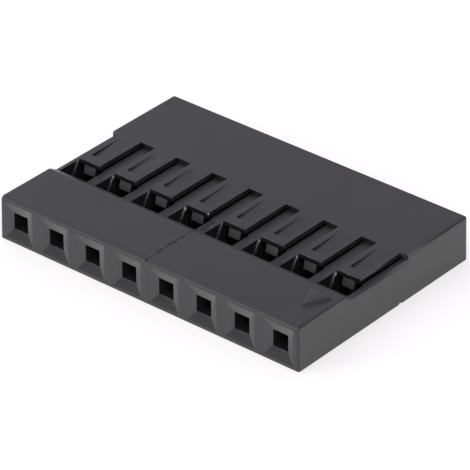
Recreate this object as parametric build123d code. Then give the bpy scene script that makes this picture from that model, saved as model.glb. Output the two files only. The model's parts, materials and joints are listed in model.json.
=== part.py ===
from build123d import *
from math import radians, tan
import os

# Single-row crimp connector housing, 8 ways on a 2.54 mm pitch, moulded in one piece.
# Frame: +X along the row of ways, +Y from the mating face to the wire side, +Z up through
# the face that carries the latch tongues.  The origin is the centre of the underside.
# All sizes are in millimetres.

# ---- the row -------------------------------------------------------------------
WAYS = 8
PITCH = 2.54
LENGTH = WAYS * PITCH + 0.08   # mean length, half way up the end faces
DEPTH = 14.10                  # mating face to wire side
HEIGHT = 2.63
END_DRAFT = 0.08               # how far each end face leans in, from underside to top

# ---- outside edges ---------------------------------------------------------------
NOSE_RADIUS = 0.26             # top edge of the mating face
CORNER_RADIUS = 0.14           # upright corners
TOP_RADIUS = 0.10              # other edges of the top
FOOT_RADIUS = 0.06             # edges of the underside
SILL_RADIUS = 0.15             # outer edges of the end walls beside the sunken field

# ---- terminal passages -----------------------------------------------------------
PASSAGE_FLOOR = 0.30
PASSAGE_ROOF = 2.32
PASSAGE_WIDTH = 1.93           # in the nose, where the terminal's box sits
THROAT_WIDTH = 1.75            # behind the window, where the crimp lies
NOSE_WALL = 1.10               # mating face to the stop that the terminal meets
SHOULDER_TOP_Y = -1.30         # the step between passage and throat, at roof level
SHOULDER_LEAN = 30             # degrees from upright, the foot of the step lies forward
ENTRY_WIDTH = 1.98             # wire side mouth of each passage
ENTRY_HEIGHT = 2.14
ENTRY_DEPTH = 0.35

# ---- pin openings in the mating face ------------------------------------------------
PIN_HOLE = 0.98                # square
FUNNEL_WIDTH = 1.93
FUNNEL_HEIGHT = 2.16
FUNNEL_DEPTH = 0.18

# ---- sunken field with the windows and the latch tongues ------------------------------
FIELD_DEPTH = 0.31
FIELD_RAMP = 0.56              # length of the slope down from the nose
WINDOW_FRONT_Y = -2.72
FIELD_BACK_Y = 1.96
TONGUE_TIP_Y = -1.38
TONGUE_WIDTH = 1.54
LIP_LENGTH = 0.16              # where the top of each tongue slopes down to its tip
LIP_DROP = 0.05

# ---- barb under each tongue tip -------------------------------------------------------
BARB_WIDTH = 0.80
BARB_DROP = 0.52               # below the tongue's underside
BARB_SETBACK = 0.07            # its root lies this far behind the tongue's tip
BARB_LEAN = 0.14               # how far its foot stands forward of its root
BARB_FLAT = 0.18               # flat at the bottom of the barb
BARB_RAMP = 1.45               # length of the lead-in slope behind it

# ---- hollow in the top of each tongue ----------------------------------------------------
HOLLOW_WIDTH = 0.82
HOLLOW_DEPTH = 0.145           # at its front end, running out to nothing at the back
HOLLOW_FRONT_Y = -0.76
HOLLOW_BACK_Y = 1.55

# ---- first-way mark, a raised triangle that points to the mating face ----------------------
MARK_HEIGHT = 0.13
MARK_WIDTH = 1.54
MARK_LENGTH = 1.62
MARK_BACK_Y = -3.80
MARK_OFFSET = 0.13             # its centre line lies this far outside the last way's
MARK_SLOPE = 40                # degrees, draft of its sides

# ---- gate scar at the foot of one end face ---------------------------------------------------
GATE_WIDTH = 0.32
GATE_DEPTH = 0.10
GATE_Y = 1.32

CLEAR = 1.0                    # how far a cutting tool runs past the surface it opens

# ---- levels and stations that follow from the above -----------------------------------------------
FRONT_Y = -DEPTH / 2
BACK_Y = DEPTH / 2
MID_Z = (PASSAGE_FLOOR + PASSAGE_ROOF) / 2
FIELD_Z = HEIGHT - FIELD_DEPTH
RAMP_TOP_Y = WINDOW_FRONT_Y - FIELD_RAMP
STOP_Y = FRONT_Y + NOSE_WALL
SHOULDER_FOOT_Y = SHOULDER_TOP_Y - (PASSAGE_ROOF - PASSAGE_FLOOR) * tan(radians(SHOULDER_LEAN))
WAY_XS = [(way - (WAYS - 1) / 2) * PITCH for way in range(WAYS)]
ACROSS = LENGTH + 2 * CLEAR


def block(x_width, y_from, y_to, z_from, z_to):
    """A box centred on X = 0 between the given Y stations and Z levels."""
    place = Pos(0, (y_from + y_to) / 2, (z_from + z_to) / 2)
    return place * Box(x_width, y_to - y_from, z_to - z_from)


def side_profile(points, x_width):
    """A prism across X from an outline of (Y, Z) points."""
    face = make_face(Plane.YZ * Polyline(*points, close=True))
    return extrude(face, amount=x_width / 2, both=True)


def outer_block():
    """The plain moulding: leaning end faces, a well rounded nose and small radii elsewhere."""
    foot = LENGTH / 2 + END_DRAFT / 2
    head = LENGTH / 2 - END_DRAFT / 2
    end_view = Polyline((-foot, 0), (foot, 0), (head, HEIGHT), (-head, HEIGHT), close=True)
    body = extrude(make_face(Plane.XZ * end_view), amount=DEPTH / 2, both=True)
    nose = body.faces().sort_by(Axis.Z)[-1].edges().sort_by(Axis.Y)[0]
    body = fillet(nose, NOSE_RADIUS)
    uprights = [edge for edge in body.edges() if edge.bounding_box().size.Z > HEIGHT / 2]
    body = fillet(uprights, CORNER_RADIUS)
    body = fillet(body.faces().sort_by(Axis.Z)[0].edges(), FOOT_RADIUS)
    top_edges = body.faces().sort_by(Axis.Z)[-1].edges()
    sharp = [edge for edge in top_edges if edge.center().Y > FRONT_Y + NOSE_WALL]
    return fillet(sharp, TOP_RADIUS)


def field():
    """Plan of the sunken field without the tongues, cut to depth, plus its front slope."""
    length = FIELD_BACK_Y - WINDOW_FRONT_Y
    plan = Pos(0, WINDOW_FRONT_Y + length / 2) * Rectangle(ACROSS, length)
    tongue_length = FIELD_BACK_Y - TONGUE_TIP_Y
    for x in WAY_XS:
        plan -= Pos(x, TONGUE_TIP_Y + tongue_length / 2) * Rectangle(TONGUE_WIDTH, tongue_length)
    sunk = extrude(Pos(0, 0, FIELD_Z) * plan, amount=FIELD_DEPTH + CLEAR)
    slope = side_profile(
        [
            (RAMP_TOP_Y, HEIGHT),
            (WINDOW_FRONT_Y, FIELD_Z),
            (WINDOW_FRONT_Y, HEIGHT + CLEAR),
            (RAMP_TOP_Y, HEIGHT + CLEAR),
        ],
        ACROSS,
    )
    return sunk + slope


def round_sills(body):
    """Round the outer top edges of both end walls along the sunken field and its slope."""
    ends = [edge for edge in body.edges() if abs(edge.center().X) > LENGTH / 2 - END_DRAFT]
    straight = [edge for edge in ends if edge.geom_type == GeomType.LINE]
    upper = [edge for edge in straight if MID_Z < edge.center().Z < HEIGHT]
    sills = [edge for edge in upper if RAMP_TOP_Y < edge.center().Y < FIELD_BACK_Y - SILL_RADIUS]
    return fillet(sills, SILL_RADIUS)


def passage():
    """Everything that is open inside one way, as one cutting tool on X = 0."""
    nose = side_profile(
        [
            (STOP_Y, PASSAGE_FLOOR),
            (SHOULDER_FOOT_Y, PASSAGE_FLOOR),
            (SHOULDER_TOP_Y, PASSAGE_ROOF),
            (SHOULDER_TOP_Y, HEIGHT + CLEAR),
            (WINDOW_FRONT_Y, HEIGHT + CLEAR),
            (WINDOW_FRONT_Y, PASSAGE_ROOF),
            (STOP_Y, PASSAGE_ROOF),
        ],
        PASSAGE_WIDTH,
    )
    throat = block(THROAT_WIDTH, STOP_Y, BACK_Y + CLEAR, PASSAGE_FLOOR, PASSAGE_ROOF)
    slots = block(THROAT_WIDTH, TONGUE_TIP_Y, FIELD_BACK_Y, MID_Z, HEIGHT + CLEAR)
    tongue = block(TONGUE_WIDTH, TONGUE_TIP_Y, FIELD_BACK_Y, PASSAGE_ROOF, HEIGHT + 2 * CLEAR)
    return nose + throat + slots - tongue


def pin_opening():
    """Square hole for the pin with its four-sided lead-in, on X = 0."""
    hole = block(PIN_HOLE, FRONT_Y - CLEAR, STOP_Y + CLEAR, MID_Z - PIN_HOLE / 2, MID_Z + PIN_HOLE / 2)
    face = Plane(origin=(0, FRONT_Y, MID_Z), x_dir=(1, 0, 0), z_dir=(0, 1, 0))
    mouth = face * Rectangle(FUNNEL_WIDTH, FUNNEL_HEIGHT)
    throat = face.offset(FUNNEL_DEPTH) * Rectangle(PIN_HOLE, PIN_HOLE)
    return hole + loft([mouth.face(), throat.face()])


def wire_entry():
    """Lead-in at the wire side of one passage, on X = 0."""
    height = PASSAGE_ROOF - PASSAGE_FLOOR
    back = Plane(origin=(0, BACK_Y, MID_Z), x_dir=(1, 0, 0), z_dir=(0, -1, 0))
    mouth = back * Rectangle(ENTRY_WIDTH, ENTRY_HEIGHT)
    neck = back.offset(ENTRY_DEPTH) * Rectangle(THROAT_WIDTH, height)
    return loft([mouth.face(), neck.face()])


def barb():
    """Locking barb under a tongue tip: a front that leans forward, a long slope behind."""
    bottom = PASSAGE_ROOF - BARB_DROP
    root_y = TONGUE_TIP_Y + BARB_SETBACK
    foot_y = root_y - BARB_LEAN
    return side_profile(
        [
            (root_y, PASSAGE_ROOF + FIELD_DEPTH / 4),
            (root_y, PASSAGE_ROOF),
            (foot_y, bottom),
            (foot_y + BARB_FLAT, bottom),
            (foot_y + BARB_FLAT + BARB_RAMP, PASSAGE_ROOF),
            (foot_y + BARB_FLAT + BARB_RAMP, PASSAGE_ROOF + FIELD_DEPTH / 4),
        ],
        BARB_WIDTH,
    )


def lip():
    """The wedge taken off the top of a tongue so that it slopes down to its tip."""
    return side_profile(
        [
            (TONGUE_TIP_Y + LIP_LENGTH, HEIGHT),
            (TONGUE_TIP_Y, HEIGHT - LIP_DROP),
            (TONGUE_TIP_Y, HEIGHT + CLEAR),
            (TONGUE_TIP_Y + LIP_LENGTH, HEIGHT + CLEAR),
        ],
        TONGUE_WIDTH,
    )


def hollow():
    """Wedge-shaped hollow in the top of a tongue, deepest near the tip."""
    return side_profile(
        [
            (HOLLOW_BACK_Y, HEIGHT),
            (HOLLOW_FRONT_Y, HEIGHT - HOLLOW_DEPTH),
            (HOLLOW_FRONT_Y, HEIGHT + CLEAR),
            (HOLLOW_BACK_Y, HEIGHT + CLEAR),
        ],
        HOLLOW_WIDTH,
    )


def first_way_mark():
    """Raised triangle with sloping sides on the nose of the last way along +X."""
    corners = [
        (0, MARK_BACK_Y - MARK_LENGTH),
        (MARK_WIDTH / 2, MARK_BACK_Y),
        (-MARK_WIDTH / 2, MARK_BACK_Y),
    ]
    plan = make_face(Polyline(*corners, close=True))
    mark = extrude(Pos(0, 0, HEIGHT) * plan, amount=MARK_HEIGHT, taper=MARK_SLOPE)
    root = extrude(Pos(0, 0, HEIGHT) * plan, amount=-MARK_HEIGHT)
    return Pos(WAY_XS[-1] + MARK_OFFSET, 0, 0) * (mark + root)


def gate_scar():
    """Small round-backed notch that the gate leaves at the foot of the +X end face."""
    reach = LENGTH / 2 + END_DRAFT / 2
    return Pos(reach, GATE_Y, 0) * Cylinder(GATE_WIDTH / 2, 2 * GATE_DEPTH)


def housing():
    """The complete moulding."""
    body = round_sills(outer_block() - field())
    ways = passage() + pin_opening() + wire_entry()
    for x in WAY_XS:
        body -= Pos(x, 0, 0) * ways
    for x in WAY_XS:
        body += Pos(x, 0, 0) * barb()
        body -= Pos(x, 0, 0) * (hollow() + lip())
    body += first_way_mark()
    body -= gate_scar()
    return body


os.makedirs("parts", exist_ok=True)
export_step(housing(), "parts/housing.step")
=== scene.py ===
"""Looks for the single-row crimp connector housing: a one-piece black moulding with
eight ways, latch tongues in windows on top, square pin openings in front and wire
entries behind.  All lengths are in metres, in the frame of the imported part."""
import json
import math

import bmesh
import bpy
import numpy as np
from mathutils import Matrix, Vector

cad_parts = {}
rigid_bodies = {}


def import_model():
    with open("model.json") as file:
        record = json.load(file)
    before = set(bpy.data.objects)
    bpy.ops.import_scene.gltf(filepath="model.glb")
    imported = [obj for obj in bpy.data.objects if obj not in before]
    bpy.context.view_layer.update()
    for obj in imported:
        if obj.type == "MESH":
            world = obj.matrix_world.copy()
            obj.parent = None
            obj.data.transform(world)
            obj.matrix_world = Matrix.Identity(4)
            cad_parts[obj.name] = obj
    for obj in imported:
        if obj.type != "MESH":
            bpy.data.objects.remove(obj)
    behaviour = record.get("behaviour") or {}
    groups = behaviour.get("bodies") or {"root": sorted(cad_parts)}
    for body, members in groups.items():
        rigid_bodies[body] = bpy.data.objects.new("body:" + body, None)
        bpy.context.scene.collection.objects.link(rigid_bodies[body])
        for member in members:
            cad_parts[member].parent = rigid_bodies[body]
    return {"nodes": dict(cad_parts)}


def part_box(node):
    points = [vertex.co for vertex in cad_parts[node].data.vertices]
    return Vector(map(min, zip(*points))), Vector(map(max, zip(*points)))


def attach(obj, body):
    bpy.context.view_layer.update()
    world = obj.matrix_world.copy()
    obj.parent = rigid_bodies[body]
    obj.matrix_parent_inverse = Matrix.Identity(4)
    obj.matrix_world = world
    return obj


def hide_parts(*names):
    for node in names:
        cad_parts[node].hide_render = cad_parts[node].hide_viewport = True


for leftover in list(bpy.data.objects):
    bpy.data.objects.remove(leftover)
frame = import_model()
bpy.context.view_layer.update()

MM = 0.001

# ---- the housing's own sizes -------------------------------------------------------------
WAYS = 8
PITCH = 2.54 * MM
WAY_XS = (np.arange(WAYS) - (WAYS - 1) / 2) * PITCH
LOW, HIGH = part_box("housing")
FRONT_Y = LOW.y
BACK_Y = HIGH.y
TOP_Z = 2.63 * MM
NOSE_RADIUS = 0.26 * MM
FIELD_Z = 2.32 * MM             # the sunk field that carries the windows
RAMP_TOP_Y = -3.28 * MM
WINDOW_FRONT_Y = -2.72 * MM
TONGUE_TIP_Y = -1.38 * MM


# ---- small helpers -----------------------------------------------------------------------
def add_object(name, data):
    """A new object at the origin that shows a mesh, a lamp or a camera."""
    thing = bpy.data.objects.new(name, data)
    bpy.context.scene.collection.objects.link(thing)
    return thing


def add_mesh(name, points, *faces):
    """A new mesh object from an array of points and an array of faces for each number of
    corners."""
    mesh = bpy.data.meshes.new(name)
    mesh.from_pydata(points.tolist(), [], [face for kind in faces for face in kind.tolist()])
    mesh.update()
    return add_object(name, mesh)


def between(low, high, share):
    """The value at a share of the way from low to high."""
    return low + (high - low) * share


def facing(aim, distance, azimuth, elevation, roll=0.0):
    """The placing of a lamp or camera that faces the aim from a distance.  The azimuth runs
    from the front towards +X, and all angles are in radians."""
    level = math.cos(elevation)
    back = Vector((level * math.sin(azimuth), -level * math.cos(azimuth), math.sin(elevation)))
    right = Vector((math.cos(azimuth), math.sin(azimuth), 0.0))
    rolled_right = math.cos(roll) * right + math.sin(roll) * back.cross(right)
    axes = Matrix((rolled_right, back.cross(rolled_right), back)).transposed()
    return Matrix.Translation(aim + back * distance) @ axes.to_4x4()


# ---- the housing itself, with its edges eased --------------------------------------------
MERGE_DISTANCE = 0.0001 * MM
FLAT_ANGLE = math.radians(0.5)
SHARP_ANGLE = math.radians(28)
SHORTEST_EDGE = 0.06 * MM       # shorter ones belong to corners that are round already
EDGE_EASE = 0.014 * MM
CREASE_ANGLE = math.radians(35)
LARGEST_FACE_WEIGHT = 100


def eased_housing(source):
    """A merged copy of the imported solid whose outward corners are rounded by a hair.  The
    rounding's faces keep a mark, edge, for the finishes to read."""
    work = bmesh.new()
    work.from_mesh(source.data)
    edge_mark = work.faces.layers.float.new("edge")
    bmesh.ops.remove_doubles(work, verts=work.verts, dist=MERGE_DISTANCE)
    bmesh.ops.dissolve_limit(
        work, angle_limit=FLAT_ANGLE, verts=work.verts, edges=work.edges, delimit=set()
    )
    outward = [edge for edge in work.edges if edge.calc_face_angle_signed(0) > SHARP_ANGLE]
    made = bmesh.ops.bevel(
        work,
        geom=[edge for edge in outward if edge.calc_length() > SHORTEST_EDGE],
        offset=EDGE_EASE,
        offset_type="OFFSET",
        segments=2,
        profile=0.5,
        affect="EDGES",
        clamp_overlap=False,
        loop_slide=False,
    )
    for face in made["faces"]:
        face[edge_mark] = 1.0
    mesh = bpy.data.meshes.new("moulding")
    work.to_mesh(mesh)
    work.free()
    thing = add_object("moulding", mesh)
    mesh.shade_smooth()
    mesh.set_sharp_from_angle(angle=CREASE_ANGLE)
    weighted = thing.modifiers.new("weighted", "WEIGHTED_NORMAL")
    weighted.keep_sharp = True
    weighted.weight = LARGEST_FACE_WEIGHT
    return thing


# ---- nodes -------------------------------------------------------------------------------
def feed(tree, socket, term):
    """Gives an input its term: a link from another node's output, or a constant."""
    if isinstance(term, bpy.types.NodeSocket):
        tree.links.new(term, socket)
    else:
        socket.default_value = term


def noise_node(tree, place, cells, detail, rough=0.5):
    """Noise on the given place, so many cells a metre."""
    noise = tree.nodes.new("ShaderNodeTexNoise")
    feed(tree, noise.inputs["Vector"], place)
    feed(tree, noise.inputs["Scale"], cells)
    feed(tree, noise.inputs["Detail"], detail)
    feed(tree, noise.inputs["Roughness"], rough)
    return noise.outputs["Fac"]


def math_node(tree, operation, *terms):
    """One sum on values or links."""
    node = tree.nodes.new("ShaderNodeMath")
    node.operation = operation
    for socket, term in zip(node.inputs, terms):
        feed(tree, socket, term)
    return node.outputs[0]


def range_node(tree, value, source, target=(0.0, 1.0)):
    """A value carried from the source range to the target range, held at its ends."""
    node = tree.nodes.new("ShaderNodeMapRange")
    feed(tree, node.inputs["Value"], value)
    for name, level in zip(("From Min", "From Max", "To Min", "To Max"), (*source, *target)):
        feed(tree, node.inputs[name], level)
    return node.outputs["Result"]


def attribute_node(tree, name):
    """A value that the mesh keeps under a name."""
    node = tree.nodes.new("ShaderNodeAttribute")
    node.attribute_name = name
    return node.outputs["Fac"]


def mix_colour(tree, factor, first, second):
    """Two colours mixed by a factor; a colour is a tuple or a link."""
    node = tree.nodes.new("ShaderNodeMix")
    node.data_type = "RGBA"
    feed(tree, node.inputs[0], factor)
    colours = [socket for socket in node.inputs if socket.type == "RGBA"]
    for socket, colour in zip(colours, (first, second)):
        feed(tree, socket, colour)
    return [socket for socket in node.outputs if socket.type == "RGBA"][0]


def new_group(name, inputs, outputs):
    """A node group with inputs of given kinds and plain outputs: its tree, what comes in
    and the sockets for what goes out."""
    tree = bpy.data.node_groups.new(name, "ShaderNodeTree")
    for label, kind in inputs.items():
        tree.interface.new_socket(name=label, in_out="INPUT", socket_type=kind)
    for label in outputs:
        tree.interface.new_socket(name=label, in_out="OUTPUT", socket_type="NodeSocketFloat")
    start = tree.nodes.new("NodeGroupInput")
    end = tree.nodes.new("NodeGroupOutput")
    return tree, start.outputs, end.inputs


def group_node(tree, group, **terms):
    """One use of a node group, with its inputs fed by name."""
    node = tree.nodes.new("ShaderNodeGroup")
    node.node_tree = group
    for name, term in terms.items():
        feed(tree, node.inputs[name], term)
    return node.outputs


# ---- finishes ----------------------------------------------------------------------------
SWELL_SHARE = 2.0               # how much higher the orange-peel swell is than the pits
# cells a metre of each noise
SWELL_CELLS = 900.0
FLOW_CELLS = 420.0
COARSE_RUB_CELLS = 1500.0
FINE_RUB_CELLS = 9000.0
# the last noise breaks up the painted highlight on the shoulders
HIGHLIGHT_BREAK_CELLS = 11000.0
# the part of each noise's range that is drawn out, and the levels it is drawn out to
FLOW_RANGE = (0.32, 0.68)
COARSE_RUB_RANGE = (0.42, 0.62)
FINE_RUB_RANGE = (0.35, 0.65)
FINE_RUB_LEVELS = (0.3, 1.0)
# the range and levels of the noise that breaks up the painted highlight
HIGHLIGHT_BREAK_RANGE = (0.3, 0.7)
HIGHLIGHT_BREAK_LEVELS = (0.6, 1.0)


def mould_grain_group():
    """The texture that the mould leaves: height is fine pits plus a slow orange-peel
    swell, and blotch is a slow change of tone where the melt flowed."""
    tree, given, wanted = new_group(
        "mould_grain",
        {"Place": "NodeSocketVector", "Pits": "NodeSocketFloat"},
        ("Height", "Blotch"),
    )
    pits = noise_node(tree, given["Place"], given["Pits"], detail=3, rough=0.6)
    swell = noise_node(tree, given["Place"], SWELL_CELLS, detail=2)
    height = math_node(tree, "ADD", pits, math_node(tree, "MULTIPLY", swell, SWELL_SHARE))
    feed(tree, wanted["Height"], height)
    flow = noise_node(tree, given["Place"], FLOW_CELLS, detail=4, rough=0.62)
    feed(tree, wanted["Blotch"], range_node(tree, flow, FLOW_RANGE))
    return tree


def rubbed_edge_group():
    """Where handling has burnished a rounded edge: the edge's own mark, broken up by a
    coarse and a fine noise, so that some lengths are rubbed and others are not."""
    tree, given, wanted = new_group(
        "rubbed_edge", {"Place": "NodeSocketVector", "Edge": "NodeSocketFloat"}, ("Rub",)
    )
    coarse = noise_node(tree, given["Place"], COARSE_RUB_CELLS, detail=3)
    fine = noise_node(tree, given["Place"], FINE_RUB_CELLS, detail=2)
    broken = math_node(
        tree,
        "MULTIPLY",
        range_node(tree, coarse, COARSE_RUB_RANGE),
        range_node(tree, fine, FINE_RUB_RANGE, FINE_RUB_LEVELS),
    )
    feed(tree, wanted["Rub"], math_node(tree, "MULTIPLY", broken, given["Edge"]))
    return tree


GRAIN = mould_grain_group()
RUBBED = rubbed_edge_group()
# each pair of tones runs from the darker to the paler blotches
BLACK_TONES = ((0.0115, 0.0115, 0.0125, 1), (0.0160, 0.0160, 0.0170, 1))
OUTSIDE_TONES = ((0.0210, 0.0210, 0.0222, 1), (0.0260, 0.0260, 0.0272, 1))
# paler tones for the funnels' left sides and, paler still, their top and right sides: painted
# light, set by the way those sides face
HALF_LIT_FUNNEL_TONES = ((0.028, 0.028, 0.029, 1), (0.041, 0.041, 0.042, 1))
LIT_FUNNEL_TONES = ((0.028, 0.028, 0.029, 1), (0.050, 0.050, 0.050, 1))
# a paler tone: painted light on the barbs' fronts and a painted glint on a flake on the wall
PALE_LIT_TONES = ((0.040, 0.040, 0.041, 1), (0.072, 0.072, 0.072, 1))
RUBBED_TONE = (0.028, 0.028, 0.029, 1)
# a pale painted highlight, standing in for a lamp's glint on the shoulders and on flakes
PAINTED_HIGHLIGHT_TONE = (0.30, 0.30, 0.295, 1)


def black_moulding(name, roughness, pits, depth, tones=BLACK_TONES, ior=1.6):
    """Black moulded plastic: roughness and tones are its spans from the darker to the paler
    blotches, pits are the grain's cells a metre and depth is its height in metres."""
    material = bpy.data.materials.new(name)
    material.use_nodes = True
    tree = material.node_tree
    shader = tree.nodes["Principled BSDF"]
    place = tree.nodes.new("ShaderNodeTexCoord").outputs["Object"]
    grain = group_node(tree, GRAIN, Place=place, Pits=pits)
    rubbed = group_node(tree, RUBBED, Place=place, Edge=attribute_node(tree, "edge"))
    tone = mix_colour(tree, grain["Blotch"], *tones)
    sheen = range_node(tree, grain["Blotch"], (0.0, 1.0), roughness)
    bump = tree.nodes.new("ShaderNodeBump")
    feed(tree, bump.inputs["Strength"], 1.0)
    feed(tree, bump.inputs["Distance"], depth)
    feed(tree, bump.inputs["Height"], grain["Height"])
    feed(tree, shader.inputs["Base Color"], mix_colour(tree, rubbed["Rub"], tone, RUBBED_TONE))
    feed(tree, shader.inputs["Roughness"], sheen)
    feed(tree, shader.inputs["Normal"], bump.outputs["Normal"])
    feed(tree, shader.inputs["IOR"], ior)
    return material


# heights between which the painted highlight on a shoulder rises from none to full
HIGHLIGHT_ZS = (1.70 * MM, 2.26 * MM)
HIGHLIGHT_CURVE = 1.5           # above 1, the painted highlight gathers at the upper end


def paint_highlight_upper_end(material):
    """A painted highlight at the upper end of a shoulder, in place of a lamp's glint: the tone
    pales with height between two levels, as far as each shoulder's own mark says, and a fine
    noise breaks it up."""
    tree = material.node_tree
    shader = tree.nodes["Principled BSDF"]
    tone = shader.inputs["Base Color"].links[0].from_socket
    place = tree.nodes["Texture Coordinate"].outputs["Object"]
    axes = tree.nodes.new("ShaderNodeSeparateXYZ")
    feed(tree, axes.inputs["Vector"], place)
    rise = range_node(tree, axes.outputs["Z"], HIGHLIGHT_ZS)
    gathered = math_node(tree, "POWER", rise, HIGHLIGHT_CURVE)
    patches = noise_node(tree, place, HIGHLIGHT_BREAK_CELLS, detail=2)
    patchy = range_node(tree, patches, HIGHLIGHT_BREAK_RANGE, HIGHLIGHT_BREAK_LEVELS)
    share = math_node(tree, "MULTIPLY", gathered, attribute_node(tree, "painted_highlight"))
    share = math_node(tree, "MULTIPLY", share, patchy)
    feed(tree, shader.inputs["Base Color"], mix_colour(tree, share, tone, PAINTED_HIGHLIGHT_TONE))


spark_eroded = black_moulding(
    "spark_eroded_black",
    roughness=(0.34, 0.42),
    pits=16000.0,
    depth=0.0004 * MM,
    tones=OUTSIDE_TONES,
    ior=1.52,
)
polished_core = black_moulding(
    "polished_core_black", roughness=(0.13, 0.19), pits=9000.0, depth=0.0003 * MM
)
# milled finish with a paler tone, which paints light on the barbs' fronts
lit_milled_core = black_moulding(
    "lit_milled_core_black",
    roughness=(0.40, 0.52),
    pits=14000.0,
    depth=0.0012 * MM,
    tones=PALE_LIT_TONES,
)
# The funnels' sides are finished by which way they face: the top and right sides paler and
# glossier, the left sides a little paler, both painted light, and the floors dimmed by a lower
# IOR as painted shade.
lit_funnel = black_moulding(
    "lit_funnel_black",
    roughness=(0.16, 0.26),
    pits=9000.0,
    depth=0.0005 * MM,
    tones=LIT_FUNNEL_TONES,
)
coarse_shaded_funnel = black_moulding(
    "coarse_shaded_funnel_black", roughness=(0.36, 0.50), pits=7000.0, depth=0.0022 * MM, ior=1.42
)
half_lit_funnel = black_moulding(
    "half_lit_funnel_black",
    roughness=(0.34, 0.46),
    pits=8000.0,
    depth=0.0014 * MM,
    tones=HALF_LIT_FUNNEL_TONES,
    ior=1.52,
)
torn_flash = black_moulding(
    "torn_flash_black", roughness=(0.55, 0.70), pits=12000.0, depth=0.0010 * MM, ior=1.33
)
# the shoulders' finish, with a painted highlight at their upper end in place of a glint
highlit_shoulder = black_moulding(
    "highlit_shoulder_black", roughness=(0.34, 0.44), pits=12000.0, depth=0.0008 * MM, ior=1.45
)
paint_highlight_upper_end(highlit_shoulder)


# ---- which tool makes which face ---------------------------------------------------------
OUTSIDE, CORE, MILLED, LIT_FUNNEL, COARSE, SHOULDER, HALF_LIT_FUNNEL = range(7)
# in the order of the tools' numbers
FINISHES = {
    OUTSIDE: spark_eroded,
    CORE: polished_core,
    MILLED: lit_milled_core,
    LIT_FUNNEL: lit_funnel,
    COARSE: coarse_shaded_funnel,
    SHOULDER: highlit_shoulder,
    HALF_LIT_FUNNEL: half_lit_funnel,
}
# how strong the painted highlight on each way's shoulder is, from 0, none, to 1
SHOULDER_HIGHLIGHTS = np.array([0.45, 0.80, 0.35, 1.00, 0.50, 0.80, 0.70, 0.95])

# where the middle of a face lies if the face belongs to each form
IN_PLANE = 0.02 * MM            # how near the front or back plane
FIELD_MARGIN = 0.12 * MM        # how little below the field
NOSE_REACH = 0.30 * MM          # how near the top and the front
UNDER_Z = 0.09 * MM             # just above the rounded edges of the underside
END_X = 10.10 * MM              # just inside the end faces
FUNNEL_REACH = 0.17 * MM        # how near the front
BARB_HALF_WIDTH = 0.3 * MM
BARB_REACH = 0.2 * MM           # how near the tongue's tip, along the passage
SHOULDER_Y = -1.9 * MM          # about half way up the shoulder's slope
SHOULDER_REACH = 0.65 * MM
SHOULDER_INNER_X = 0.6 * MM     # the shoulders lie beside the throat of the passage
# how much of a face's direction lies along an axis
SQUARE = 0.97
STEEP = 0.90
SLOPED = 0.75
HALF = 0.5
LEANING = 0.4
TURNED = 0.1


def mark_painted_highlight(mesh, marks):
    """Keeps on each face how strong its painted highlight is, for the finish to read."""
    layer = mesh.attributes.new("painted_highlight", "FLOAT", "FACE")
    layer.data.foreach_set("value", marks.astype(np.float32))


def tooling_of_faces(mesh):
    """Which finish each face gets and how strong its painted highlight is, worked out from every
    face's centre and direction at once: OUTSIDE is the spark-eroded cavity (top, floor, ends and
    ribs), CORE the polished core pins and blades, MILLED the milled end of the blade that
    leaves the barb's front, given a paler tone as painted light, COARSE the funnel floors,
    given a lower reflectance as painted shade, and SHOULDER the shoulders.  The funnels' top and
    right sides get a paler, glossier finish and their left sides a slightly paler one, both
    painted light.  A shoulder gets its painted highlight only to the left of its way's middle."""
    count = len(mesh.polygons)
    centre = np.empty(count * 3)
    mesh.polygons.foreach_get("center", centre)
    x, y, z = centre.reshape(-1, 3).T
    normal = np.empty(count * 3)
    mesh.polygons.foreach_get("normal", normal)
    across, along, upward = normal.reshape(-1, 3).T
    from_ways = np.abs(x[:, None] - WAY_XS)
    way = from_ways.argmin(axis=1)
    sideways = from_ways.min(axis=1)

    upper = (z > FIELD_Z - FIELD_MARGIN) & (upward > HALF)
    nose = (y < FRONT_Y + NOSE_REACH) & (z > TOP_Z - NOSE_REACH)
    ends = np.abs(x) > END_X
    in_face = (y < FRONT_Y + IN_PLANE) | (y > BACK_Y - IN_PLANE)
    ribs = (np.abs(along) > SQUARE) & in_face
    outside = upper | nose | (z < UNDER_Z) | ends | ribs
    barb = (along < -STEEP) & (upward > TURNED) & (sideways < BARB_HALF_WIDTH)
    barb &= (np.abs(y - TONGUE_TIP_Y) < BARB_REACH) & (z < FIELD_Z)
    funnel = (y < FRONT_Y + FUNNEL_REACH) & (along < -STEEP) & ~in_face & ~nose
    funnel &= z > UNDER_Z
    shoulder = (along < -SLOPED) & (upward > LEANING) & (sideways > SHOULDER_INNER_X)
    shoulder &= (np.abs(y - SHOULDER_Y) < SHOULDER_REACH) & (z < FIELD_Z)

    rules = {
        # the funnel's sides, sorted by which way they face, for their painted light and shade
        LIT_FUNNEL: funnel & ((upward < -TURNED) | (across < -TURNED)),
        COARSE: funnel & (upward > TURNED),
        HALF_LIT_FUNNEL: funnel & (across > TURNED),
        OUTSIDE: outside,
        MILLED: barb,
        SHOULDER: shoulder,
    }
    tool = np.select(list(rules.values()), list(rules), default=CORE)
    # the painted highlight goes on the left shoulders only, as strong as each way's share
    painted_highlight = np.where((tool == SHOULDER) & (x < WAY_XS[way]), SHOULDER_HIGHLIGHTS[way], 0.0)
    return tool.astype(np.int32), painted_highlight


housing = eased_housing(frame["nodes"]["housing"])
for finish in FINISHES.values():
    housing.data.materials.append(finish)
tools, highlight_marks = tooling_of_faces(housing.data)
housing.data.polygons.foreach_set("material_index", tools)
mark_painted_highlight(housing.data, highlight_marks)
housing.data.update()
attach(housing, "root")
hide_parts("housing")


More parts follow.
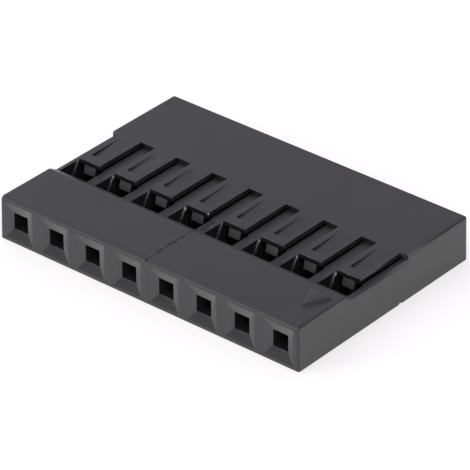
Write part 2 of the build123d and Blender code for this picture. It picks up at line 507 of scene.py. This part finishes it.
# ---- surfaces for what the mould's joints leave ------------------------------------------
def top_profile(y):
    """Height of the upper surface at station y on a wall between two ways: a quarter
    circle over the nose, level, a straight ramp down, and level again in the field."""
    reach = np.clip(FRONT_Y + NOSE_RADIUS - y, 0.0, NOSE_RADIUS)
    rounded = TOP_Z - NOSE_RADIUS + np.sqrt(NOSE_RADIUS**2 - reach**2)
    fall = np.clip((y - RAMP_TOP_Y) / (WINDOW_FRONT_Y - RAMP_TOP_Y), 0.0, 1.0)
    return rounded - fall * (TOP_Z - FIELD_Z)


def beads(along, stations, heights, front, back):
    """Beads on a line, each a bell curve with its own slope on either side: at a distance d
    from its station its height falls as exp(-(d / front)**2) or exp(-(d / back)**2)."""
    apart = along[:, None] - stations[None, :]
    bell = np.exp(-((apart / np.where(apart < 0, front, back)) ** 2))
    return (heights[None, :] * bell).sum(axis=1)


def ripple(along, rng, waves, shortest, longest):
    """Even ripple between -1 and 1: a sum of sines whose lengths lie between two limits."""
    lengths = np.geomspace(shortest, longest, waves)
    phases = rng.uniform(0, 2 * np.pi, waves)
    return np.sin(2 * np.pi * along[:, None] / lengths + phases).sum(axis=1) / waves


def closed_loft(rings):
    """A closed skin over rings[station, step], as points, quads and triangles: the quads
    join the rings in order, and a fan of triangles to the middle of the first and of the
    last ring closes both ends."""
    rows, columns = rings.shape[:2]
    points = np.concatenate([rings.reshape(-1, 3), rings[[0, -1]].mean(axis=1)])
    number = np.arange(rows * columns).reshape(rows, columns)
    after = np.roll(number, -1, axis=1)
    quads = np.stack([number[:-1], after[:-1], after[1:], number[1:]], axis=-1)
    middles = np.repeat([[rows * columns], [rows * columns + 1]], columns, axis=1)
    first_fan = np.stack([after[0], number[0], middles[0]], axis=-1)
    last_fan = np.stack([number[-1], after[-1], middles[1]], axis=-1)
    return points, quads.reshape(-1, 4), np.concatenate([first_fan, last_fan])


FLAKE_RINGS = 15
FLAKE_STEPS = 28
FLAKE_POLE = 0.47 * np.pi       # latitude at which the fans take over
FLAKE_BLUNTNESS = 0.6           # 1 is a ball, and less has blunter corners


def flake(centre, normal, along, length, width, thickness):
    """A flake of flash, a flattened ball with blunt corners: at latitude a and turn t its
    point lies c(a) c(t) along its length, c(a) s(t) across its width and s(a) through its
    thickness, where c and s are the cosine and the sine, each raised to the power 0.6 with
    its sign kept."""
    normal = np.asarray(normal, float) / np.linalg.norm(normal)
    along = np.asarray(along, float) - np.dot(along, normal) * normal
    along /= np.linalg.norm(along)
    beside = np.cross(normal, along)
    latitude = np.linspace(-FLAKE_POLE, FLAKE_POLE, FLAKE_RINGS)[:, None]
    turn = np.linspace(0, 2 * np.pi, FLAKE_STEPS, endpoint=False)[None, :]

    def blunt(value):
        return np.sign(value) * np.abs(value) ** FLAKE_BLUNTNESS

    lengthwise = blunt(np.cos(latitude)) * blunt(np.cos(turn)) * length / 2
    widthwise = blunt(np.cos(latitude)) * blunt(np.sin(turn)) * width / 2
    through = np.broadcast_to(blunt(np.sin(latitude)) * thickness / 2, lengthwise.shape)
    rings = lengthwise[..., None] * along + widthwise[..., None] * beside
    return closed_loft(np.asarray(centre, float) + rings + through[..., None] * normal)


def add_moulding_piece(name, skin, finish):
    """A small closed piece of the same plastic, smooth shaded, that rides with the housing."""
    piece = add_mesh(name, *skin)
    piece.data.shade_smooth()
    piece.data.materials.append(finish)
    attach(piece, "root")
    return piece


def add_highlit_flakes(name, flakes, marks):
    """Several flakes as one piece in the shoulders' finish, each pale with the painted highlight
    as far as its mark says.
    """
    points, quads, fans = (np.stack(arrays) for arrays in zip(*flakes))
    starts = np.arange(len(flakes))[:, None, None] * points.shape[1]
    skin = (
        points.reshape(-1, 3),
        (quads + starts).reshape(-1, 4),
        (fans + starts).reshape(-1, 3),
    )
    piece = add_moulding_piece(name, skin, highlit_shoulder)
    face_marks = [np.repeat(marks, quads.shape[1]), np.repeat(marks, fans.shape[1])]
    mark_painted_highlight(piece.data, np.concatenate(face_marks))


# ---- the witness line --------------------------------------------------------------------
SEAM_SEED = 45
SEAM_X = -0.04 * MM
SEAM_FRONT_Y = FRONT_Y + 0.03 * MM
SEAM_BACK_Y = TONGUE_TIP_Y - 0.06 * MM
SEAM_STATIONS = 760
SEAM_STEPS = 11
SEAM_WAVES = 5
SEAM_ROOT = 0.02 * MM           # how deep its lower row is sunk in the wall
SEAM_SINK = 0.001 * MM          # how deep its feet are sunk
SEAM_END = 0.05 * MM            # the length over which each end dies away
LEAST_END = 0.02                # the share of its height that is left at each end
END_WIDTH = 0.3                 # and the share of its width
RIDGE = 0.0035 * MM
RIDGE_RIPPLE = 0.0025 * MM
RIDGE_WAVES = (0.16 * MM, 0.9 * MM)
WANDER = 0.042 * MM
WANDER_WAVES = (0.3 * MM, 2.4 * MM)
RIDGE_ROUNDNESS = 1.3
LEAST_HALF_WIDTH = 0.004 * MM
HALF_WIDTH_TO_HEIGHT = 1.7

BEADS_FROM_Y = -6.98 * MM
BEADS_TO_Y = -1.5 * MM
BEAD_SPACING = 0.31 * MM
BEAD_SHIFT = 0.11 * MM
BEAD_HEIGHTS = (0.014 * MM, 0.058 * MM)
BEAD_SLOPES = (0.055 * MM, 0.085 * MM)
BEAD_SHARE_ON_WALL = 0.6        # the beads are lower behind the windows' front
BEAD_ASIDE = 0.045 * MM
BEAD_ASIDE_SLOPES = (0.09 * MM, 0.09 * MM)

BURR_YS = np.array([-6.97, -5.98, -4.72, -4.12]) * MM
BURR_HEIGHTS = np.array([0.010, 0.024, 0.022, 0.024]) * MM
BURR_SLOPES = (0.03 * MM, 0.07 * MM)


def witness_line():
    """The ragged line where two inserts of the mould meet, over the nose and down the wall
    between ways 4 and 5.  At station y the point of step j, from -1 to 1, lies at
    x = m + w j and z = top + h (1 - j**2)**1.3.  The middle m wanders as a ripple and is
    pushed aside at each bead, the height h is a low ripple with a row of beads and a few
    burrs on it, and the half width w grows with h.  A lower row sunk in the wall closes
    the section underneath."""
    rng = np.random.default_rng(SEAM_SEED)
    y = np.linspace(SEAM_FRONT_Y, SEAM_BACK_Y, SEAM_STATIONS)
    stations = np.arange(BEADS_FROM_Y, BEADS_TO_Y, BEAD_SPACING)
    stations += rng.uniform(-BEAD_SHIFT, BEAD_SHIFT, stations.size)
    sizes = rng.uniform(*BEAD_HEIGHTS, stations.size)
    sizes *= np.where(stations > WINDOW_FRONT_Y, BEAD_SHARE_ON_WALL, 1.0)

    height = RIDGE + RIDGE_RIPPLE * ripple(y, rng, SEAM_WAVES, *RIDGE_WAVES)
    height += beads(y, stations, sizes, *BEAD_SLOPES)
    height += beads(y, BURR_YS, BURR_HEIGHTS, *BURR_SLOPES)
    middle = SEAM_X + WANDER * ripple(y, rng, SEAM_WAVES, *WANDER_WAVES)
    aside = rng.uniform(-BEAD_ASIDE, BEAD_ASIDE, stations.size)
    middle += beads(y, stations, aside, *BEAD_ASIDE_SLOPES)

    ends = np.clip(np.minimum(y - y[0], y[-1] - y) / SEAM_END, LEAST_END, 1.0)
    half = (LEAST_HALF_WIDTH + HALF_WIDTH_TO_HEIGHT * height) * between(END_WIDTH, 1.0, ends)
    step = np.linspace(-1.0, 1.0, SEAM_STEPS)
    ridge = (1 - step**2) ** RIDGE_ROUNDNESS
    x = middle[:, None] + half[:, None] * step
    z = (top_profile(y) - SEAM_SINK)[:, None] + (height * ends)[:, None] * ridge
    upper = np.stack([x, np.broadcast_to(y[:, None], x.shape), z], axis=-1)
    lower = upper[:, -2:0:-1].copy()
    lower[..., 2] = (top_profile(y) - SEAM_ROOT)[:, None]
    return closed_loft(np.concatenate([upper, lower], axis=1))


add_moulding_piece("mould_witness_line", witness_line(), torn_flash)


# ---- flakes and crumbs of flash ----------------------------------------------------------
tip_flake = flake(
    centre=np.array([-0.505, -1.392, 2.575]) * MM,
    normal=(0.02, -0.862, 0.506),
    along=(1.0, 0.0, 0.0),
    length=0.13 * MM,
    width=0.11 * MM,
    thickness=0.03 * MM,
)
add_moulding_piece("tongue_tip_flake", tip_flake, polished_core)
# a flake on the wall between ways 4 and 5, whose paler milled tone paints a glint on it
wall_flake = flake(
    centre=np.array([0.01, -1.257, 2.33]) * MM,
    normal=(0.10, -0.35, 0.90),
    along=(1.0, 0.25, 0.0),
    length=0.17 * MM,
    width=0.10 * MM,
    thickness=0.03 * MM,
)
add_moulding_piece("wall_flake", wall_flake, lit_milled_core)

SHOULDER_LEAN = math.radians(30)
FLASH_SEED = 8
FLASH_PLACE = np.array([-0.885, -1.352, 2.235]) * MM       # from the middle of its way
FLASH_LENGTHS = (0.06 * MM, 0.20 * MM)
FLASH_WIDTHS = (0.07 * MM, 0.14 * MM)
FLASH_THICKNESS = 0.06 * MM
FLASH_TURN = 0.15               # how far each flake is turned to the side, as a slope
FLASH_SPREAD = 0.15             # the most that chance adds to its slopes
LEAST_HIGHLIGHT = 0.6              # a shoulder with a weaker painted highlight has no flash


def shoulder_flash():
    """Flash at the upper end of the shoulders that carry the painted highlight, one flake a way,
    each with its mark for that painted highlight: it lies along the slope of the shoulder, and
    the stronger the shoulder's painted highlight the larger it is."""
    rng = np.random.default_rng(FLASH_SEED)
    uphill = np.array([0.0, math.sin(SHOULDER_LEAN), math.cos(SHOULDER_LEAN)])
    outward = np.array([0.0, -math.cos(SHOULDER_LEAN), math.sin(SHOULDER_LEAN)])
    flakes, marks = [], []
    for x, strength in zip(WAY_XS, SHOULDER_HIGHLIGHTS):
        turn, tilt = rng.uniform(-FLASH_SPREAD, FLASH_SPREAD, 2)
        if strength < LEAST_HIGHLIGHT:
            continue
        flakes.append(
            flake(
                centre=FLASH_PLACE + np.array([x, 0.0, 0.0]),
                normal=outward + np.array([FLASH_TURN + turn, 0.0, 0.0]),
                along=uphill + np.array([tilt, 0.0, 0.0]),
                length=between(*FLASH_LENGTHS, strength),
                width=between(*FLASH_WIDTHS, strength),
                thickness=FLASH_THICKNESS,
            )
        )
        marks.append(strength)
    return flakes, marks


CRUMB_SEED = 31
CRUMB_COUNT = 6
CRUMB_YS = (-6.5 * MM, -4.2 * MM)
CRUMB_SHIFT = 0.2 * MM
CRUMB_ASIDE = (0.11 * MM, 0.20 * MM)
CRUMB_LENGTHS = (0.05 * MM, 0.15 * MM)
CRUMB_WIDTH_TO_LENGTH = 0.6
CRUMB_THICKNESS = 0.03 * MM
CRUMB_TURN = 0.5                # the most that a crumb is turned, in radians
CRUMB_HIGHLIGHT = 0.60               # how strong its painted highlight is, on the scale of the shoulders' painted highlight


def seam_crumbs():
    """Crumbs torn off the witness line and pressed flat into the top, now on its one side
    and now on its other, spaced along it with some chance in place, size and turn, each with a
    mark for the painted highlight that makes it a pale speck."""
    rng = np.random.default_rng(CRUMB_SEED)
    y = np.linspace(*CRUMB_YS, CRUMB_COUNT)
    y += rng.uniform(-CRUMB_SHIFT, CRUMB_SHIFT, CRUMB_COUNT)
    side = np.where(np.arange(CRUMB_COUNT) % 2 == 0, -1.0, 1.0)
    x = SEAM_X + side * rng.uniform(*CRUMB_ASIDE, CRUMB_COUNT)
    lengths = rng.uniform(*CRUMB_LENGTHS, CRUMB_COUNT)
    turns = rng.uniform(-CRUMB_TURN, CRUMB_TURN, CRUMB_COUNT)
    centres = np.stack([x, y, top_profile(y)], axis=-1)
    flakes = [
        flake(
            centre=centre,
            normal=(0.0, 0.0, 1.0),
            along=(math.cos(turn), math.sin(turn), 0.0),
            length=length,
            width=CRUMB_WIDTH_TO_LENGTH * length,
            thickness=CRUMB_THICKNESS,
        )
        for centre, length, turn in zip(centres, lengths, turns)
    ]
    return flakes, [CRUMB_HIGHLIGHT] * CRUMB_COUNT


# both pieces are made pale with the shoulders' painted highlight, in place of glints
add_highlit_flakes("shoulder_flash", *shoulder_flash())
add_highlit_flakes("seam_crumbs", *seam_crumbs())


# ---- floor -------------------------------------------------------------------------------
FLOOR_RADIUS = 1.5
FLOOR_CORNERS = 64
FLOOR_COLOUR = (0.595, 0.575, 0.555, 1)
FLOOR_ROUGHNESS = 0.9
# how much light the floor adds of its own, as each kind of ray sees it
FLOOR_LIFT = {"Is Camera Ray": 0.53, "Is Glossy Ray": 0.70}


def floor_material():
    """White floor that keeps shadows and lies just at white in the camera and in reflections."""
    material = bpy.data.materials.new("white_sweep")
    material.use_nodes = True
    tree = material.node_tree
    rays = tree.nodes.new("ShaderNodeLightPath").outputs
    lifts = [math_node(tree, "MULTIPLY", rays[kind], lift) for kind, lift in FLOOR_LIFT.items()]
    sockets = tree.nodes["Principled BSDF"].inputs
    feed(tree, sockets["Base Color"], FLOOR_COLOUR)
    feed(tree, sockets["Roughness"], FLOOR_ROUGHNESS)
    feed(tree, sockets["Specular IOR Level"], 0.0)
    feed(tree, sockets["Emission Color"], (1, 1, 1, 1))
    feed(tree, sockets["Emission Strength"], math_node(tree, "MAXIMUM", *lifts))
    return material


angles = np.linspace(0, 2 * math.pi, FLOOR_CORNERS, endpoint=False)
rim = FLOOR_RADIUS * np.stack([np.cos(angles), np.sin(angles), np.zeros(FLOOR_CORNERS)], -1)
floor = add_mesh("floor", rim, np.arange(FLOOR_CORNERS)[None, :])
floor.data.materials.append(floor_material())


# ---- light -------------------------------------------------------------------------------
LAMP_DISTANCE = 0.5
WHITE = (1.0, 1.0, 1.0)
COOL = (0.93, 0.905, 1.03)
SKY_LEVEL = 0.46
# azimuth, elevation, width and height in degrees, then radiance and tint
LAMPS = {
    "right_softbox": (48, 37, 34, 30, 3.8, WHITE),
    "left_softbox": (-38, 40, 45, 24, 0.95, WHITE),
    "low_key": (-33, 19, 9, 9, 15.0, WHITE),
    "back_left": (246, 30, 34, 30, 0.52, COOL),
    "back_low": (214, 13, 44, 14, 0.68, COOL),
    "back_side": (180, 36, 40, 24, 0.27, COOL),
    "top_scrim": (-50, 66, 70, 40, 0.6, COOL),
}


def soft_lamp(name, azimuth, elevation, width, height, radiance, tint):
    """A rectangular soft lamp that looks at the housing: its size is two angles as seen
    from there."""
    data = bpy.data.lights.new(name, "AREA")
    data.shape = "RECTANGLE"
    data.size = 2 * LAMP_DISTANCE * math.tan(math.radians(width) / 2)
    data.size_y = 2 * LAMP_DISTANCE * math.tan(math.radians(height) / 2)
    data.energy = radiance * math.pi * data.size * data.size_y
    data.color = tint
    lamp = add_object(name, data)
    lamp.matrix_world = facing(
        Vector((0.0, 0.0, 0.0)), LAMP_DISTANCE, math.radians(azimuth), math.radians(elevation)
    )
    lamp.visible_camera = False


def add_sky():
    """Even cool light from all round, which the camera sees as white."""
    world = bpy.data.worlds.new("studio")
    bpy.context.scene.world = world
    world.use_nodes = True
    tree = world.node_tree
    seen = tree.nodes.new("ShaderNodeLightPath").outputs["Is Camera Ray"]
    sockets = tree.nodes["Background"].inputs
    feed(tree, sockets["Color"], (*COOL, 1))
    feed(tree, sockets["Strength"], math_node(tree, "MAXIMUM", seen, SKY_LEVEL))


for lamp_name, settings in LAMPS.items():
    soft_lamp(lamp_name, *settings)
add_sky()


# ---- camera ------------------------------------------------------------------------------
CAMERA_AZIMUTH = math.radians(40.0)
CAMERA_ELEVATION = math.radians(31.54)
CAMERA_ROLL = math.radians(-0.187)
CAMERA_DISTANCE = 199.7 * MM
CAMERA_LENS = 289.25
SENSOR_WIDTH = 36
NEAREST_SEEN = 0.01
FARTHEST_SEEN = 20
AIM = Vector((0.266, -0.144, 1.0)) * MM


def add_camera():
    """The camera at its azimuth, elevation and roll round the aim point."""
    data = bpy.data.cameras.new("camera")
    data.lens = CAMERA_LENS
    data.sensor_width = SENSOR_WIDTH
    data.clip_start = NEAREST_SEEN
    data.clip_end = FARTHEST_SEEN
    camera = add_object("camera", data)
    bpy.context.scene.camera = camera
    camera.matrix_world = facing(
        AIM, CAMERA_DISTANCE, CAMERA_AZIMUTH, CAMERA_ELEVATION, CAMERA_ROLL
    )


add_camera()
bpy.context.scene.view_settings.view_transform = "Standard"

bpy.context.view_layer.update()
